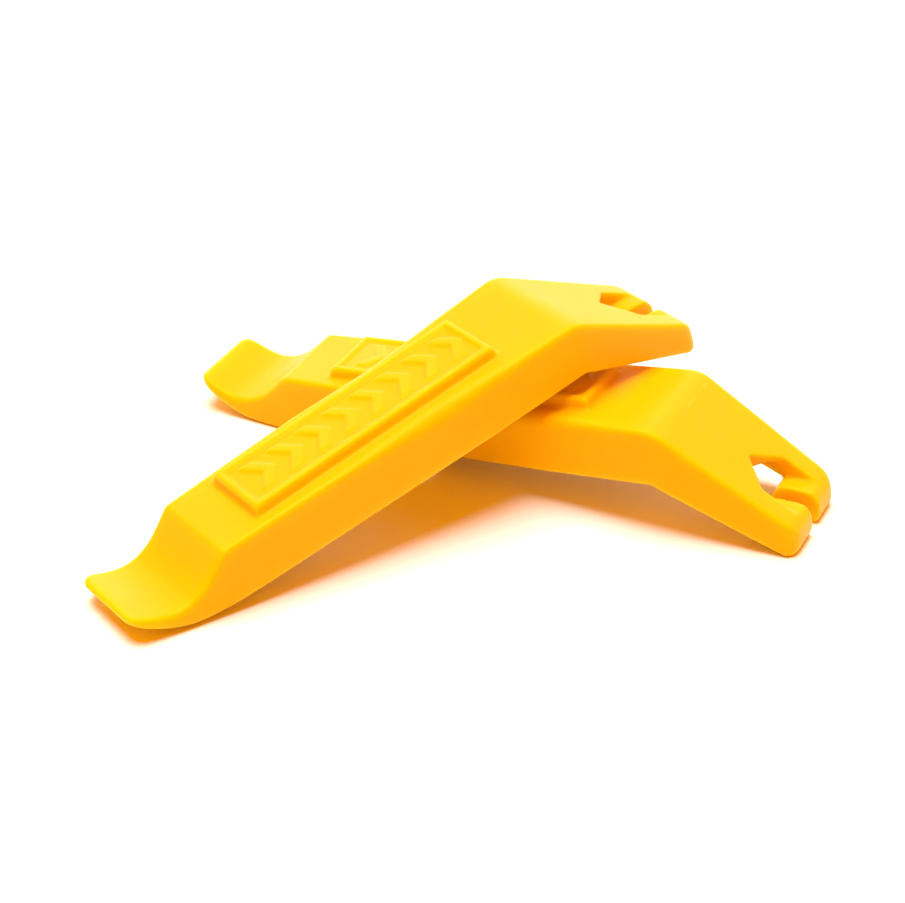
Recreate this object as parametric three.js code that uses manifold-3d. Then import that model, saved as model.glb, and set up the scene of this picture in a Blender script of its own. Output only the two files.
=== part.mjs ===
// A pair of bicycle tyre levers, each one plastic moulding, one laid across the other.
// Lever frame: x from the spoon tip to the fork, y across, z up from the flat top face.
import * as THREE from 'three';
import { mergeVertices } from 'three/addons/utils/BufferGeometryUtils.js';
import Module from 'manifold-3d';

const wasm = await Module();
wasm.setup();

// ---- driving dimensions, mm ----
const CREST_X = 19.8;          // sharp crest where the spoon meets the flat top
const BEND_X = 97.2;           // top edge of the bend
const ARM_ANGLE = 35;          // degrees the fork arm drops from the flat top
const BEND_REACH = 2.2;        // the top edge is eased over this much each side of the bend
const END_X = 123.1;           // furthest face of the prongs
const NOSE = { top: 3.2, foot: 3.0, side: 2.6 };  // how far back each end corner is rounded
const TIP_X = -0.6;            // nose of the spoon lip

const HALF_CREST = 10.2;       // half widths in plan
const HALF_BEND = 13.0;
const HALF_END = 10.9;
const TIP_HALF = [[TIP_X, 6.6], [-0.2, 7.8], [0.6, 8.8], [1.6, 9.4], [3.2, 9.7], [CREST_X, HALF_CREST]];
const SIDE_DRAFT = 0.4;        // how much wider the foot of each side is

const PLATE = { x0: 29.0, x1: 82.4, half: 7.2, high: 2.1, draft: 0.4 };

// spoon, body and arm seen from the side: [x, z]
const SCOOP = [[-0.6, -2.9], [0.2, -2.4], [2, -3.1], [4, -4.25], [6, -5.15], [8, -5.7], [10, -5.75],
  [12, -5.3], [14, -4.4], [15.6, -3.3], [17.2, -2.0], [18.6, -0.8], [19.4, -0.2], [CREST_X, 0]];
const KEEL = [[-0.6, -3.3], [0, -3.8], [1.2, -4.8], [2.6, -5.9], [4.9, -7.5], [7, -8.7], [9.4, -9.8],
  [12, -10.5], [16, -11.1], [20, -11.4], [25, -11.5]];
const BODY_FOOT = -11.5;       // underside of the body
const HEEL = [96.4, -11.0];    // inner corner of the bend underneath
const ARM_FOOT = [121.0, -23.6];

// corner radius along the two long top edges: [x, radius]
const SHOULDER = [[-1, 0.5], [3, 0.9], [8, 1.2], [20, 0.8], [35, 0.8], [48, 1.1], [56, 1.9], [65, 3.0],
  [73, 2.5], [82, 1.7], [92, 1.1], [98, 0.8], [124, 0.8]];

// fork: distances are along the arm from the bend (s), across (y) and down from its top face
const HOLE_APEX = 16.6;
const HOLE_WIDE = 22.1;
const HOLE_HALF = 6.0;
const HOLE_LAND = 1.8;         // depth of the pointed outline at the top
const POCKET_APEX = 17.6;      // below it the hole is blunter
const POCKET_WIDE = 20.1;
const WEB = 3.4;               // depth where the hole starts to open out underneath
const FLARE = 4.2;             // how far out it goes, over FLARE_DEEP
const FLARE_DEEP = 2.4;
const BELOW_ARM = -14;         // a height under everything the cuts go through
const RAMP_FOOT = 24.4;
const RAMP_TOP = 30.4;
const RAMP = [[RAMP_TOP + 0.5, 0.25], [28.4, -0.8], [26.2, -2.05], [RAMP_FOOT, -3.4]];
const SLOT_HALF = 1.9;

// shallow recess along the underside of the body
const RECESS = { x0: 26, x1: 90, half: 8.4, roof: -7.8 };

// how each lever lies: heading, rise toward the fork and roll in degrees, place of its middle
const LOWER = { heading: -25, rise: 6.7, roll: 0, at: [23.8, -7.2, 18.26] };
const UPPER = { heading: 36.5, rise: 16.25, roll: -2.2, at: [0.1, -13.1, 28.94] };
const MIDDLE_X = 78;

// ---- curves ----
function along(table, x) {
  if (x <= table[0][0]) {
    return table[0][1];
  }
  for (let i = 1; i < table.length; i += 1) {
    const [x0, z0] = table[i - 1];
    const [x1, z1] = table[i];
    if (x <= x1) {
      return z0 + (z1 - z0) * (x - x0) / (x1 - x0);
    }
  }
  return table[table.length - 1][1];
}

const SLOPE = Math.tan(THREE.MathUtils.degToRad(ARM_ANGLE));

// the end of the prongs is a soft nose in profile and has rounded corners in plan
function noseDrop(x, radius) {
  const over = Math.max(0, x - (END_X - radius));
  return radius - Math.sqrt(Math.max(0, radius * radius - over * over));
}

function topAt(x) {
  if (x < CREST_X) {
    return along(SCOOP, x);
  }
  const line = Math.min(0, (BEND_X - x) * SLOPE);
  const off = Math.abs(x - BEND_X);
  const ease = off < BEND_REACH ? SLOPE * (BEND_REACH - off) ** 2 / (4 * BEND_REACH) : 0;
  return line - ease - noseDrop(x, NOSE.top) * 0.7;
}

function footAt(x) {
  if (x < 25) {
    return along(KEEL, x);
  }
  const body = along([[25, BODY_FOOT], [75, BODY_FOOT], HEEL], x);
  const arm = HEEL[1] + (ARM_FOOT[1] - HEEL[1]) * (x - HEEL[0]) / (ARM_FOOT[0] - HEEL[0]);
  return x < HEEL[0] ? body : arm + noseDrop(x, NOSE.foot) * 1.2;
}

function halfAt(x) {
  if (x < CREST_X) {
    return along(TIP_HALF, x);
  }
  const side = along([[CREST_X, HALF_CREST], [BEND_X - 1, HALF_BEND], [BEND_X + 1, HALF_BEND],
    [END_X, HALF_END]], x);
  return side - noseDrop(x, NOSE.side);
}

// ---- shapes ----
// joins rings of equal length into one closed skin; the first and last ring are capped flat
function loft(rings) {
  const n = rings[0].length;
  const faces = [];
  for (let k = 0; k + 1 < rings.length; k += 1) {
    for (let i = 0; i < n; i += 1) {
      const a = k * n + i;
      const b = k * n + (i + 1) % n;
      faces.push(a, b, b + n, a, b + n, a + n);
    }
  }
  const last = (rings.length - 1) * n;
  for (let i = 1; i + 1 < n; i += 1) {
    faces.push(0, i + 1, i, last, last + i, last + i + 1);
  }
  const geometry = new THREE.BufferGeometry();
  geometry.setAttribute('position', new THREE.Float32BufferAttribute(rings.flat(2), 3));
  geometry.setIndex(faces);
  return geometry;
}

// one slice across the lever, rounded at all four long edges
function slice(x) {
  const top = topAt(x);
  const foot = footAt(x);
  const half = halfAt(x);
  const thick = top - foot;
  const rt = Math.min(along(SHOULDER, x), thick * 0.42);
  const rb = Math.min(0.8, thick * 0.3);
  const low = half + SIDE_DRAFT * thick / 12;
  const corner = (cy, cz, r, from, steps) => {
    const pts = [];
    for (let i = 0; i <= steps; i += 1) {
      const a = THREE.MathUtils.degToRad(from + 90 * i / steps);
      pts.push([x, cy + r * Math.cos(a), cz + r * Math.sin(a)]);
    }
    return pts;
  };
  return [
    ...corner(half - rt, top - rt, rt, 0, 5),
    ...corner(-half + rt, top - rt, rt, 90, 5),
    ...corner(-low + rb, foot + rb, rb, 180, 3),
    ...corner(low - rb, foot + rb, rb, 270, 3),
  ];
}

function bodyShape() {
  const stations = new Set([TIP_X, END_X, CREST_X, BEND_X, HEEL[0]]);
  SCOOP.forEach((p) => stations.add(p[0]));
  KEEL.forEach((p) => stations.add(p[0]));
  [0.6, 1, 3, 5, 7, 9, 11, 13, 18, 22, 24].forEach((x) => stations.add(x));
  for (let x = 28; x < 95; x += 4) {
    stations.add(x);
  }
  [95, 95.8, 97.8, 98.4, 99, 99.4, 104, 109, 114, 118, 119.6].forEach((x) => stations.add(x));
  [120.2, 120.7, 121.1, 121.6, 122.1, 122.5, 122.8, 123.0].forEach((x) => stations.add(x));
  return loft([...stations].sort((a, b) => a - b).map(slice));
}

// an upright block on the outline [[x, y], ...] between two heights
function upright(outline, z0, z1) {
  const shape = new THREE.Shape(outline.map((p) => new THREE.Vector2(p[0], p[1])));
  return new THREE.ExtrudeGeometry(shape, { depth: z1 - z0, bevelEnabled: false }).translate(0, 0, z0);
}

// a block with the side outline [[x, z], ...], from y0 to y1
function sideways(outline, y0, y1) {
  const shape = new THREE.Shape(outline.map((p) => new THREE.Vector2(p[0], p[1])));
  const block = new THREE.ExtrudeGeometry(shape, { depth: y1 - y0, bevelEnabled: false });
  return block.rotateX(Math.PI / 2).translate(0, y1, 0);
}

function oblong(x0, x1, half, z) {
  return [[x0, -half, z], [x1, -half, z], [x1, half, z], [x0, half, z]];
}

// from distances along, across and above the arm's top face to the lever's own frame
function onArm(geometry) {
  return geometry.rotateY(THREE.MathUtils.degToRad(ARM_ANGLE)).translate(BEND_X, 0, 0);
}

function solidOf(geometry) {
  geometry.deleteAttribute('normal');
  geometry.deleteAttribute('uv');
  const merged = mergeVertices(geometry, 1e-4);
  return new wasm.Manifold(new wasm.Mesh({
    numProp: 3,
    vertProperties: new Float32Array(merged.attributes.position.array),
    triVerts: new Uint32Array(merged.index.array),
  }));
}

function leverSolid() {
  // raised plate along the middle of the top
  const plate = loft([
    oblong(PLATE.x0 - PLATE.draft, PLATE.x1 + PLATE.draft, PLATE.half + PLATE.draft, -0.5),
    oblong(PLATE.x0 - PLATE.draft, PLATE.x1 + PLATE.draft, PLATE.half + PLATE.draft, 0),
    oblong(PLATE.x0 - 0.2, PLATE.x1 + 0.2, PLATE.half + 0.2, PLATE.high - 0.3),
    oblong(PLATE.x0, PLATE.x1, PLATE.half, PLATE.high),
  ]);

  // spoke hole, flared underneath, less the ramp that climbs to the end on each side of the slot
  const house = [[HOLE_APEX, 0], [HOLE_WIDE, -HOLE_HALF], [RAMP_TOP, -HOLE_HALF + 0.1],
    [RAMP_TOP, HOLE_HALF - 0.1], [HOLE_WIDE, HOLE_HALF]];
  const pocket = [[POCKET_APEX, 0], [POCKET_WIDE, -HOLE_HALF], [RAMP_FOOT, -HOLE_HALF],
    [RAMP_FOOT, HOLE_HALF], [POCKET_WIDE, HOLE_HALF]];
  const flared = (z) => pocket.map(([u, v]) => [
    u < RAMP_FOOT ? u - FLARE : u,
    v + Math.sign(v) * FLARE,
    z,
  ]);
  const flare = loft([
    flared(BELOW_ARM),
    flared(-WEB - FLARE_DEEP),
    pocket.map(([u, v]) => [u, v, -WEB + 0.01]),
  ]);
  const climb = [[RAMP_FOOT, -16], [RAMP_TOP + 3, -16], [RAMP_TOP + 3, 0.6], ...RAMP];
  const hole = solidOf(onArm(upright(house, -WEB, 3)))
    .subtract(solidOf(onArm(sideways(climb, SLOT_HALF, 8))))
    .subtract(solidOf(onArm(sideways(climb, -8, -SLOT_HALF))))
    .add(solidOf(onArm(upright(pocket, -WEB, -HOLE_LAND))))
    .add(solidOf(onArm(flare)));
  const slotOutline = [[RAMP_FOOT - 1, -SLOT_HALF], [36, -SLOT_HALF], [36, SLOT_HALF],
    [RAMP_FOOT - 1, SLOT_HALF]];
  const slot = solidOf(onArm(upright(slotOutline, BELOW_ARM, 3)));

  // shallow recess underneath
  const recess = loft([
    oblong(RECESS.x0 - 0.4, RECESS.x1 + 0.4, RECESS.half + 0.3, BELOW_ARM),
    oblong(RECESS.x0 + 0.4, RECESS.x1 - 0.4, RECESS.half - 0.3, RECESS.roof),
  ]);

  return solidOf(bodyShape())
    .add(solidOf(plate))
    .subtract(hole)
    .subtract(slot)
    .subtract(solidOf(recess));
}

function toGeometry(manifold) {
  const mesh = manifold.getMesh();
  const geometry = new THREE.BufferGeometry();
  geometry.setAttribute('position', new THREE.BufferAttribute(new Float32Array(mesh.vertProperties), 3));
  geometry.setIndex(new THREE.BufferAttribute(new Uint32Array(mesh.triVerts), 1));
  geometry.computeVertexNormals();
  return geometry;
}

// ---- the two levers as they lie ----
const shape = toGeometry(leverSolid());

function layDown(name, pose) {
  const material = new THREE.MeshStandardMaterial({ color: 0xffc800, roughness: 0.42, metalness: 0 });
  material.name = 'yellow_nylon';
  const mesh = new THREE.Mesh(shape.clone(), material);
  mesh.name = name;
  mesh.position.set(-MIDDLE_X, 0, 0);
  const turned = new THREE.Group();
  const rad = THREE.MathUtils.degToRad;
  turned.rotation.set(rad(pose.roll), rad(-pose.rise), rad(pose.heading), 'ZYX');
  turned.position.set(...pose.at);
  turned.add(mesh);
  return turned;
}

const pair = new THREE.Group();
pair.name = 'tyre_levers';
pair.add(layDown('lower_lever', LOWER));
pair.add(layDown('upper_lever', UPPER));

// middle of the pair's footprint at x = y = 0, floor at z = 0
pair.updateMatrixWorld(true);
const box = new THREE.Box3().setFromObject(pair, true);
const middle = box.getCenter(new THREE.Vector3());
pair.position.set(-middle.x, -middle.y, 0);
pair.updateMatrixWorld(true);

export default pair;
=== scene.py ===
import math

import bmesh
import bpy
import numpy as np
from mathutils import Euler, Matrix, Vector


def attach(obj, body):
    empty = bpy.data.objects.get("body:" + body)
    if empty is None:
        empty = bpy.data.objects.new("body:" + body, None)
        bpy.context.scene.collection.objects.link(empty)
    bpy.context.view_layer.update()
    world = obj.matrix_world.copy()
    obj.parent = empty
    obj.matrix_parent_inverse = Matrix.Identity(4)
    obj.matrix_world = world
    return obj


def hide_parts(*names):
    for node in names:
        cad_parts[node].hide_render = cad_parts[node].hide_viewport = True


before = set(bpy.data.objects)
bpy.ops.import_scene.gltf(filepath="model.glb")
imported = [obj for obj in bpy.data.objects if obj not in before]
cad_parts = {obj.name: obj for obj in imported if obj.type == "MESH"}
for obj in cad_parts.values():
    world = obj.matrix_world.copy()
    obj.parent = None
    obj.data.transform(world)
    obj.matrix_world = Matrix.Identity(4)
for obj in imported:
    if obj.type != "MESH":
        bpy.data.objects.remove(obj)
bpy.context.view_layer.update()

# ---- camera ----
# A long lens on a tripod, looking down at the pair from the front, with the lower lever's spoon
# at the left and both forks at the right.
AIM = Vector((-0.0033, 0.0153, 0.0001))
CAMERA_DISTANCE = 0.4807
CAMERA_RISE = math.radians(31.38)
CAMERA_SWING = math.radians(0.336)
LENS_MM = 99.18
backward = Vector((math.sin(CAMERA_SWING) * math.cos(CAMERA_RISE),
                   -math.cos(CAMERA_SWING) * math.cos(CAMERA_RISE),
                   math.sin(CAMERA_RISE)))
camera = bpy.data.objects.new("camera", bpy.data.cameras.new("camera"))
bpy.context.scene.collection.objects.link(camera)
camera.data.lens = LENS_MM
camera.data.sensor_width = 36.0
camera.data.clip_start = 0.02
camera.location = AIM + backward * CAMERA_DISTANCE
camera.rotation_euler = (-backward).to_track_quat("-Z", "Y").to_euler()
bpy.context.scene.camera = camera

# ---- the two tyre levers ----
# Each is a single injection moulding in yellow nylon: a curled spoon that hooks the bead, a flat
# body with a raised plate, and a fork bent down at the end that catches a spoke. Lengths are in
# millimetres in the lever's own frame: x from spoon to fork, y across, z up from the flat top.
CREST_X = 19.8          # crest between the spoon and the flat top
BEND_X = 97.2           # top edge of the bend
BEND_REACH = 2.2        # the top edge is eased over this much each side of it
END_X = 123.1           # furthest face of the prongs
TOP_NOSE = 2.4          # how far back the end is rounded: above, below and at the sides
FOOT_NOSE = 3.0
SIDE_NOSE = 2.6
TOP_NOSE_DROP = 0.7     # how deep those roundings go for their length
FOOT_NOSE_RISE = 1.2
ARM_ANGLE = math.radians(35)
SIDE_DRAFT = 0.4        # how much wider each side is at its foot, per 12 mm of height
DRAFT_HEIGHT = 12
BODY_FOOT = -11.5
FOOT_LEVEL_TO = 75      # from here the underside climbs to the heel
HEEL = (96.4, -11.0)    # inner corner of the bend underneath
ARM_FOOT = (121.0, -23.6)
ARM_FOOT_PAST = 4       # the underside line is carried on this far past that point
BOTTOM_ROUND = 0.8      # rounding of the two lower edges

# side view of the spoon, and how far each long top edge is rounded: (x, value)
SCOOP = [(-0.6, -2.9), (0.2, -2.4), (2, -3.1), (4, -4.25), (6, -5.15), (8, -5.7), (10, -5.75),
         (12, -5.3), (14, -4.4), (15.6, -3.3), (17.2, -2.0), (18.6, -0.8), (19.4, -0.2), (CREST_X, 0)]
KEEL = [(-0.6, -3.3), (0, -3.8), (1.2, -4.8), (2.6, -5.9), (4.9, -7.5), (7, -8.7), (9.4, -9.8),
        (12, -10.5), (16, -11.1), (20, -11.4), (25, BODY_FOOT)]
TIP_HALF = [(-0.6, 6.6), (-0.2, 7.8), (0.6, 8.8), (1.6, 9.4), (3.2, 9.7), (CREST_X, 10.2)]
SIDE_HALF = [(CREST_X, 10.2), (BEND_X - 1, 13.0), (BEND_X + 1, 13.0), (END_X, 10.9)]
SHOULDER = [(-1, 0.5), (3, 0.9), (8, 1.2), (20, 0.8), (35, 0.8), (48, 1.1), (56, 1.9), (65, 3.0),
            (73, 2.5), (82, 1.7), (92, 1.1), (98, 0.8), (124, 0.8)]


def straight(table, x):
    return float(np.interp(x, [p[0] for p in table], [p[1] for p in table]))


def flowing(table, x):
    """A smooth curve through the table's points that doesn't overshoot between them."""
    xs = np.array([p[0] for p in table], float)
    ys = np.array([p[1] for p in table], float)
    slopes = np.diff(ys) / np.diff(xs)
    bends = np.concatenate([slopes[:1], (slopes[:-1] + slopes[1:]) / 2, slopes[-1:]])
    for i in range(1, len(xs) - 1):
        if slopes[i - 1] * slopes[i] <= 0:
            bends[i] = 0
    i = int(np.clip(np.searchsorted(xs, x) - 1, 0, len(xs) - 2))
    step = xs[i + 1] - xs[i]
    t = min(1.0, max(0.0, (x - xs[i]) / step))
    return float((2 * t ** 3 - 3 * t ** 2 + 1) * ys[i] + (t ** 3 - 2 * t ** 2 + t) * step * bends[i]
                 + (3 * t ** 2 - 2 * t ** 3) * ys[i + 1] + (t ** 3 - t ** 2) * step * bends[i + 1])


def nose_drop(x, radius):
    """How far a quarter round of that radius has fallen away near the end of the prongs."""
    over = max(0.0, x - (END_X - radius))
    return radius - math.sqrt(max(0.0, radius ** 2 - over ** 2))


def top_at(x):
    if x < CREST_X:
        return flowing(SCOOP, x)
    slope = math.tan(ARM_ANGLE)
    off = abs(x - BEND_X)
    ease = slope * (BEND_REACH - off) ** 2 / (4 * BEND_REACH) if off < BEND_REACH else 0.0
    return min(0.0, (BEND_X - x) * slope) - ease - TOP_NOSE_DROP * nose_drop(x, TOP_NOSE)


def foot_at(x):
    if x < KEEL[-1][0]:
        return flowing(KEEL, x)
    if x < HEEL[0]:
        return straight([(FOOT_LEVEL_TO, BODY_FOOT), HEEL], x)
    far_end = (ARM_FOOT[0] + ARM_FOOT_PAST,
               ARM_FOOT[1] + ARM_FOOT_PAST * (ARM_FOOT[1] - HEEL[1]) / (ARM_FOOT[0] - HEEL[0]))
    return straight([HEEL, far_end], x) + FOOT_NOSE_RISE * nose_drop(x, FOOT_NOSE)


def half_at(x):
    if x < CREST_X:
        return flowing(TIP_HALF, x)
    return straight(SIDE_HALF, x) - nose_drop(x, SIDE_NOSE)


def new_object(name, points, faces):
    mesh = bpy.data.meshes.new(name)
    mesh.from_pydata([tuple(p) for p in points], [], faces)
    made = bpy.data.objects.new(name, mesh)
    bpy.context.scene.collection.objects.link(made)
    return made


def loft(name, rings):
    """Joins rings of equal length into one closed skin, with a flat cap on the first and last."""
    n = len(rings[0])
    faces = [(k * n + i, k * n + (i + 1) % n, (k + 1) * n + (i + 1) % n, (k + 1) * n + i)
             for k in range(len(rings) - 1) for i in range(n)]
    last = (len(rings) - 1) * n
    faces += [tuple(reversed(range(n))), tuple(range(last, last + n))]
    made = new_object(name, [p for ring in rings for p in ring], faces)
    skin = bmesh.new()
    skin.from_mesh(made.data)
    bmesh.ops.recalc_face_normals(skin, faces=skin.faces)
    skin.to_mesh(made.data)
    skin.free()
    return made


def slice_at(x):
    """One slice across the lever, rounded at its four long edges."""
    top, foot, half = top_at(x), foot_at(x), half_at(x)
    thick = top - foot
    above = min(straight(SHOULDER, x), 0.42 * thick)
    below = min(BOTTOM_ROUND, 0.3 * thick)
    low = half + SIDE_DRAFT * thick / DRAFT_HEIGHT

    def corner(y, z, r, start, steps):
        turns = [math.radians(start + 90 * i / steps) for i in range(steps + 1)]
        return [(x, y + r * math.cos(a), z + r * math.sin(a)) for a in turns]

    return (corner(half - above, top - above, above, 0, 9)
            + corner(above - half, top - above, above, 90, 9)
            + corner(below - low, foot + below, below, 180, 5)
            + corner(low - below, foot + below, below, 270, 5))


def prism(name, outline, low, high):
    """An upright block on a plan outline, whichever way the outline runs."""
    return loft(name, [[(x, y, z) for x, y in outline] for z in (low, high)])


def block_across(name, outline, y0, y1):
    """A block with a side outline of (x, z) points, between two widths."""
    return loft(name, [[(x, y, z) for x, z in outline] for y in (y0, y1)])


def rectangle(x0, x1, half, z):
    return [(x0, -half, z), (x1, -half, z), (x1, half, z), (x0, half, z)]


def on_arm(piece):
    """Turns a piece drawn along a level arm down into the bend."""
    piece.data.transform(Matrix.Translation((BEND_X, 0, 0)) @ Matrix.Rotation(ARM_ANGLE, 4, "Y"))
    return piece


def settle(piece):
    """Makes a piece's modifiers part of its mesh."""
    seen = piece.evaluated_get(bpy.context.evaluated_depsgraph_get())
    settled = bpy.data.meshes.new_from_object(seen)
    piece.modifiers.clear()
    piece.data = settled


def boolean(piece, operation, *tools):
    for tool in tools:
        step = piece.modifiers.new(operation, "BOOLEAN")
        step.operation = operation
        step.solver = "EXACT"
        step.object = tool
        settle(piece)
        bpy.data.objects.remove(tool)
    return piece


# the raised plate: its foot flares into the top face and its upper edge is rounded
PLATE_X = (29.0, 82.4)
PLATE_HALF = 7.2
PLATE_HIGH = 2.1
PLATE_PROFILE = [(-0.6, 0.95), (0.0, 0.8), (0.2, 0.45), (0.5, 0.3), (1.4, 0.18), (1.8, 0.0),
                 (2.0, -0.22), (PLATE_HIGH, -0.55)]
RIM = 1.35              # width of the plate's border
FIELD_DEEP = 0.5        # how far the middle of the plate is sunk
MARKS = 8               # plain arrow ribs in the field
MARK_ARM = 4.1          # half the width of an arrow
MARK_WIDE = 1.6         # thickness of its arms, and how far its point and notch lie ahead
MARK_POINT = 3.2
MARK_NOTCH = 2.6
MARK_ENDS = (2.6, 5.4)  # clear field before the first arrow and after the start of the last
MARK_SUNK = 0.4         # the ribs start this far under the field and stop just short of the rim
MARK_SHORT = 0.04

# fork, along the arm from the bend, across, and down from its top face
HOLE_APEX = 16.6
HOLE_WIDE = 22.1
HOLE_HALF = 6.0
POCKET_APEX = 17.6      # the hole is blunter from here down
POCKET_WIDE = 20.1
LAND = 1.8
WEB = 3.4               # from here down it opens out, FLARE to each side over FLARE_DEEP
FLARE = 4.2
FLARE_DEEP = 2.4
BELOW_ARM = -14
RAMP_FOOT = 24.4
RAMP_TOP = 30.4
SLOT_HALF = 1.9
SLOT_END = 36
ABOVE_ARM = 3           # a height over everything the cuts go through

# recess underneath, at its mouth and its roof: x from, x to, half width, z
RECESS_MOUTH = (25.6, 90.4, 8.7, BELOW_ARM)
RECESS_ROOF = (26.4, 89.6, 8.1, -7.8)

# the skin is remeshed at this pitch and smoothed, which rounds the small edges
VOXEL = 0.335
SOFTEN = 6


def lever_mesh():
    """The whole moulding as one closed skin."""
    stations = np.concatenate([np.linspace(-0.6, 2.0, 14), np.linspace(2.4, CREST_X, 45),
                               np.linspace(CREST_X + 0.5, 94.5, 80), np.linspace(95, 99.6, 20),
                               np.linspace(100.5, 119.5, 20), np.linspace(120, END_X - 0.05, 22)])
    lever = loft("lever", [slice_at(float(x)) for x in stations])

    plate = loft("plate", [rectangle(PLATE_X[0] - grow, PLATE_X[1] + grow, PLATE_HALF + grow, z)
                           for z, grow in PLATE_PROFILE])
    field = loft("field", [rectangle(PLATE_X[0] + RIM - grow, PLATE_X[1] - RIM + grow,
                                     PLATE_HALF - RIM + grow, z)
                           for z, grow in [(PLATE_HIGH - FIELD_DEEP, 0.0), (PLATE_HIGH + 0.5, 0.35)]])
    boolean(plate, "DIFFERENCE", field)
    first, last = PLATE_X[0] + RIM + MARK_ENDS[0], PLATE_X[1] - RIM - MARK_ENDS[1]
    for i in range(MARKS):
        x = first + (last - first) * i / (MARKS - 1)
        arrow = [(x, -MARK_ARM), (x + MARK_WIDE * 1.4, -MARK_ARM), (x + MARK_POINT + MARK_WIDE, 0),
                 (x + MARK_WIDE * 1.4, MARK_ARM), (x, MARK_ARM), (x + MARK_NOTCH, 0)]
        boolean(plate, "UNION", prism("mark", arrow, PLATE_HIGH - FIELD_DEEP - MARK_SUNK,
                                      PLATE_HIGH - MARK_SHORT))

    house = [(HOLE_APEX, 0), (HOLE_WIDE, -HOLE_HALF), (RAMP_TOP, 0.1 - HOLE_HALF),
             (RAMP_TOP, HOLE_HALF - 0.1), (HOLE_WIDE, HOLE_HALF)]
    climb = [(RAMP_FOOT, -16), (RAMP_TOP + 3, -16), (RAMP_TOP + 3, 0.6), (RAMP_TOP + 0.5, 0.25),
             (28.4, -0.8), (26.2, -2.05), (RAMP_FOOT, -WEB)]
    pocket = [(POCKET_APEX, 0), (POCKET_WIDE, -HOLE_HALF), (RAMP_FOOT, -HOLE_HALF),
              (RAMP_FOOT, HOLE_HALF), (POCKET_WIDE, HOLE_HALF)]
    flared = [(s - FLARE if s < RAMP_FOOT else s, y + np.sign(y) * FLARE) for s, y in pocket]
    hole = boolean(on_arm(prism("hole", house, -WEB, ABOVE_ARM)), "DIFFERENCE",
                   on_arm(block_across("ramp", climb, SLOT_HALF, 8)),
                   on_arm(block_across("ramp", climb, -8, -SLOT_HALF)))
    below = on_arm(prism("pocket", pocket, -WEB - 0.1, -LAND))
    flare = on_arm(loft("flare", [[(s, y, BELOW_ARM) for s, y in flared],
                                  [(s, y, -WEB - FLARE_DEEP) for s, y in flared],
                                  [(s, y, -WEB) for s, y in pocket]]))
    slot = on_arm(prism("slot", [(RAMP_FOOT - 1, -SLOT_HALF), (SLOT_END, -SLOT_HALF),
                                 (SLOT_END, SLOT_HALF), (RAMP_FOOT - 1, SLOT_HALF)],
                        BELOW_ARM, ABOVE_ARM))
    recess = loft("recess", [rectangle(*RECESS_MOUTH), rectangle(*RECESS_ROOF)])
    boolean(lever, "UNION", plate)
    boolean(lever, "DIFFERENCE", recess, hole, below, flare, slot)

    remesh = lever.modifiers.new("skin", "REMESH")
    remesh.mode = "VOXEL"
    remesh.voxel_size = VOXEL
    soften = lever.modifiers.new("soften", "SMOOTH")
    soften.factor = 0.5
    soften.iterations = SOFTEN
    settle(lever)
    mesh = lever.data
    bpy.data.objects.remove(lever)
    return mesh


class Shade:
    """One shader socket. Sums and products on it add Math nodes to its material."""

    def __init__(self, tree, socket=None):
        self.tree = tree
        self.socket = socket

    def node(self, kind, settings, inputs, output=0):
        made = self.tree.nodes.new(kind)
        for name, value in settings.items():
            setattr(made, name, value)
        for name, value in inputs.items():
            if isinstance(value, Shade):
                self.tree.links.new(value.socket, made.inputs[name])
            else:
                made.inputs[name].default_value = value
        return Shade(self.tree, made.outputs[output] if made.outputs else None)

    def math(self, operation, first, second):
        return self.node("ShaderNodeMath", {"operation": operation}, {0: first, 1: second})

    def __add__(self, other):
        return self.math("ADD", self, other)

    def __radd__(self, other):
        return self.math("ADD", other, self)

    def __sub__(self, other):
        return self.math("SUBTRACT", self, other)

    def __rsub__(self, other):
        return self.math("SUBTRACT", other, self)

    def __mul__(self, other):
        return self.math("MULTIPLY", self, other)

    def __rmul__(self, other):
        return self.math("MULTIPLY", other, self)

    def band(self, low, high):
        """0 below low, 1 above high, smooth between; high may be the lower one."""
        return self.node("ShaderNodeMapRange", {"interpolation_type": "SMOOTHSTEP"},
                         {"Value": self, "From Min": low, "From Max": high})


NYLON = (0.78, 0.49, 0.0, 1)
NYLON_DEEP = (0.75, 0.455, 0.0, 1)
NYLON_WORN = (0.84, 0.55, 0.05, 1)
DUST = (0.95, 0.80, 0.45, 1)


GRAIN_DEEP = 0.00005    # metres
LIGHT_REACH = (0.006, 0.005, 0.0004)   # how far red, green and blue spread under the skin, metres


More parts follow.
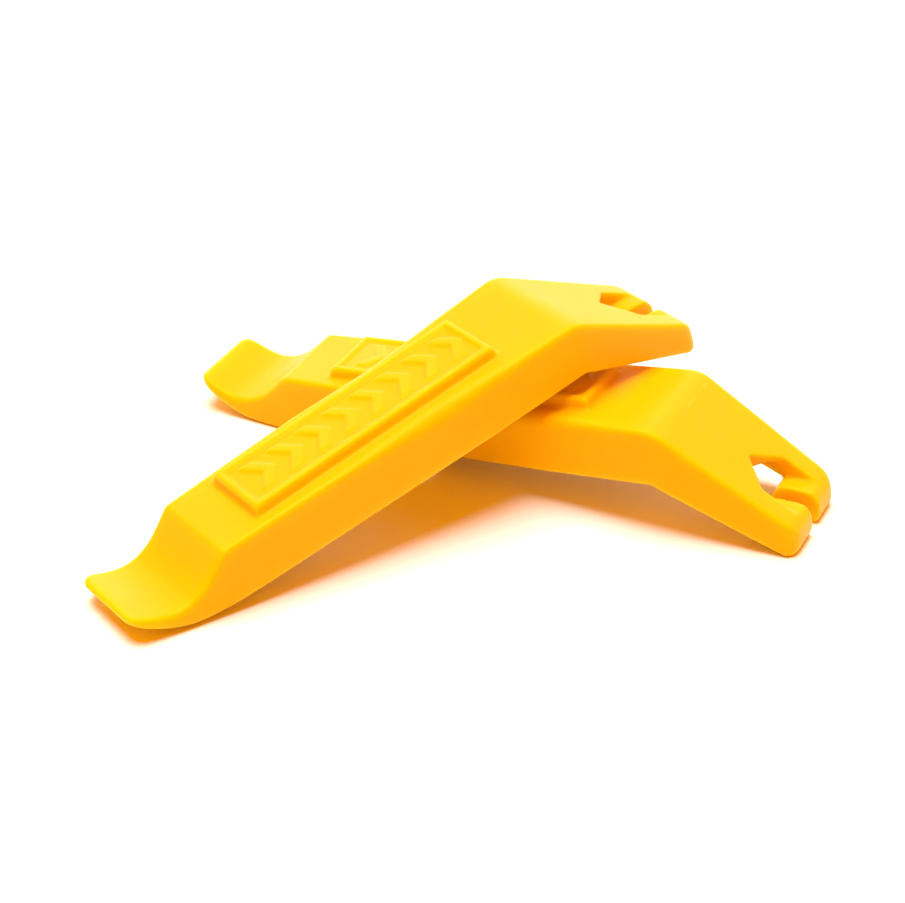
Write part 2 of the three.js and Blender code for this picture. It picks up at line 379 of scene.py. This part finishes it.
def yellow_nylon(shift):
    """Semi-matt moulded nylon: fine spark grain, faint flow mottle, a few specks and rubbed edges."""
    material = bpy.data.materials.new("yellow_nylon")
    material.use_nodes = True
    tree = material.node_tree
    tree.nodes.clear()
    make = Shade(tree)
    place = make.node("ShaderNodeTexCoord", {}, {}, "Object")
    spot = make.node("ShaderNodeVectorMath", {"operation": "ADD"}, {0: place, 1: shift})

    def noise(scale, detail, rough=0.5):
        return make.node("ShaderNodeTexNoise", {}, {"Vector": spot, "Scale": scale, "Detail": detail,
                                                    "Roughness": rough}, "Fac")

    mottle = noise(60, 3).band(0.35, 0.7)
    grain = noise(2600, 2, 0.6)
    pits = make.node("ShaderNodeTexVoronoi", {"feature": "F1"}, {"Vector": spot, "Scale": 160.0},
                     "Distance")
    chosen = make.node("ShaderNodeTexVoronoi", {"feature": "F1"}, {"Vector": spot, "Scale": 160.0},
                       "Color")
    speck = pits.band(0.075, 0.035) * make.node("ShaderNodeSeparateColor", {}, {"Color": chosen},
                                               "Red").band(0.955, 0.965)
    edge = make.node("ShaderNodeNewGeometry", {}, {}, "Pointiness").band(0.58, 0.66)
    rubbed = edge * noise(420, 3, 0.7).band(0.45, 0.62)

    def mix(factor, first, second):
        return make.node("ShaderNodeMix", {"data_type": "RGBA"}, {0: factor, 6: first, 7: second}, 2)

    colour = mix(mottle * 0.35, NYLON, NYLON_DEEP)
    colour = mix(rubbed * 0.5, colour, NYLON_WORN)
    colour = mix(speck * 0.7, colour, DUST)
    rough = 0.40 + 0.08 * noise(220, 3) + 0.05 * mottle - 0.08 * rubbed
    relief = grain * 0.6 + noise(900, 2) * 0.6 + speck * 0.8
    bump = make.node("ShaderNodeBump", {}, {"Height": relief, "Strength": 0.16, "Distance": GRAIN_DEEP})
    nylon = make.node("ShaderNodeBsdfPrincipled", {}, {
        "Base Color": colour, "Roughness": rough, "IOR": 1.45, "Specular IOR Level": 0.5,
        "Specular Tint": (1.0, 0.55, 0.03, 1), "Subsurface Weight": 0.65,
        "Subsurface Radius": LIGHT_REACH, "Subsurface Scale": 1.0, "Normal": bump})
    make.node("ShaderNodeOutputMaterial", {}, {"Surface": nylon})
    return material


# how each lever lies: heading, rise toward the fork and roll in degrees, and place of its middle
MM = 0.001
MIDDLE_X = 78
PAIR_SHIFT = Vector((-3.2053, 15.3999, 0))
LAY = {"lower_lever": (-25, 6.7, 0, Vector((23.8, -7.2, 18.26))),
       "upper_lever": (36.5, 16.25, -2.2, Vector((0.1, -13.1, 28.94)))}
moulding = lever_mesh()
for number, (name, (heading, rise, roll, at)) in enumerate(LAY.items()):
    lever = bpy.data.objects.new(name + "_moulding", moulding.copy())
    bpy.context.scene.collection.objects.link(lever)
    turn = Euler((math.radians(roll), math.radians(-rise), math.radians(heading)), "XYZ").to_matrix()
    lever.data.transform(Matrix.Scale(MM, 4) @ Matrix.Translation(at + PAIR_SHIFT) @ turn.to_4x4()
                         @ Matrix.Translation((-MIDDLE_X, 0, 0)))
    lever.data.shade_smooth()
    lever.data.materials.append(yellow_nylon((0.31 * number, 0.17 * number, 0.0)))
    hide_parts(name)
    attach(lever, name)
bpy.data.meshes.remove(moulding)

# ---- floor ----
# A sheet of plain white paper that the levers lie on, wide enough to fill any view. It is flat
# and is not fixed to anything.
FLOOR_HALF = 4.0
floor = new_object("floor", [(-FLOOR_HALF, -FLOOR_HALF, 0), (FLOOR_HALF, -FLOOR_HALF, 0),
                             (FLOOR_HALF, FLOOR_HALF, 0), (-FLOOR_HALF, FLOOR_HALF, 0)], [(0, 1, 2, 3)])
paper = bpy.data.materials.new("white_paper")
paper.use_nodes = True
paper_shader = paper.node_tree.nodes["Principled BSDF"]
paper_shader.inputs["Base Color"].default_value = (0.93, 0.93, 0.93, 1)
paper_shader.inputs["Roughness"].default_value = 0.9
paper_shader.inputs["Specular IOR Level"].default_value = 0.1
floor.data.materials.append(paper)

# ---- light ----
# A broad, soft white key from above and a little behind, a warm room for fill, and a white wall
# behind the levers that shows in their glancing faces.
KEY_POWER = 3.7
KEY_SPREAD = math.radians(40)
key = bpy.data.objects.new("key", bpy.data.lights.new("key", "SUN"))
bpy.context.scene.collection.objects.link(key)
key.data.energy = KEY_POWER
key.data.angle = KEY_SPREAD
key.rotation_euler = Vector((-0.08, 0.08, 1.0)).to_track_quat("Z", "Y").to_euler()

WARM = (1.0, 0.29, 0.0, 1)
WARM_STRENGTH = 1.08
WALL_STRENGTH = 1.8
room = bpy.data.worlds.new("room")
bpy.context.scene.world = room
room.use_nodes = True
room.node_tree.nodes.clear()
sky = Shade(room.node_tree)
direction = sky.node("ShaderNodeTexCoord", {}, {}, "Generated")
behind = (sky.node("ShaderNodeSeparateXYZ", {}, {"Vector": direction}, "Y").band(0.6, 0.85)
          * sky.node("ShaderNodeSeparateXYZ", {}, {"Vector": direction}, "Z").band(0.62, 0.42))
tint = sky.node("ShaderNodeMix", {"data_type": "RGBA"}, {0: behind, 6: WARM, 7: (1, 1, 1, 1)}, 2)
glow = sky.node("ShaderNodeBackground", {}, {
    "Color": tint, "Strength": WARM_STRENGTH + (WALL_STRENGTH - WARM_STRENGTH) * behind})
sky.node("ShaderNodeOutputWorld", {}, {"Surface": glow})
bpy.context.scene.view_settings.view_transform = "Standard"
